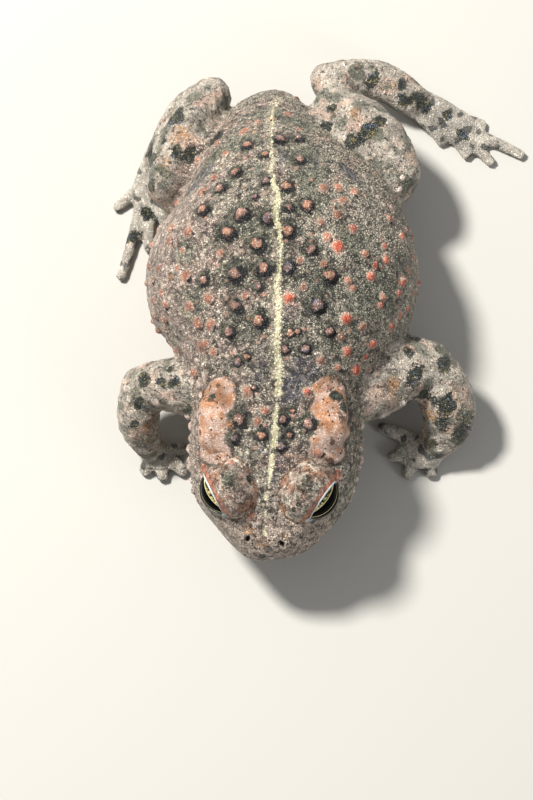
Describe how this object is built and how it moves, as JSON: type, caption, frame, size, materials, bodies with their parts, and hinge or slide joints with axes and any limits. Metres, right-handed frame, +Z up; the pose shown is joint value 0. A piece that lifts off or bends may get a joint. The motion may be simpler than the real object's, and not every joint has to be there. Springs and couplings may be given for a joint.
{
  "type": "natterjack toad model",
  "caption": "Life-size still model of a resting natterjack toad with warty olive-grey skin, a yellow back stripe and gold eyes, lying on its belly.",
  "frame": {"origin": "on the belly's resting flat, in the middle of the body's width, about half way between snout and vent", "axes": "+Y from the snout towards the vent, +X to the toad's left, +Z up"},
  "size_m": [0.0603, 0.0755, 0.0275],
  "materials": {
    "skin": "moist warty skin, matt with a slight sheen",
    "eye": "wet gloss, gold iris and black pupil"
  },
  "bodies": {
    "root": {"head": "skin", "lower_jaw": "skin", "torso": "skin", "parotoid_left": "skin", "parotoid_right": "skin", "eye_left": "eye", "eye_right": "eye", "upper_arm_left": "skin", "forearm_left": "skin", "hand_left": "skin", "thigh_left": "skin", "shank_left": "skin", "tarsus_left": "skin", "foot_left": "skin", "upper_arm_right": "skin", "forearm_right": "skin", "hand_right": "skin", "thigh_right": "skin", "shank_right": "skin", "tarsus_right": "skin", "foot_right": "skin"}
  },
  "joints": []
}
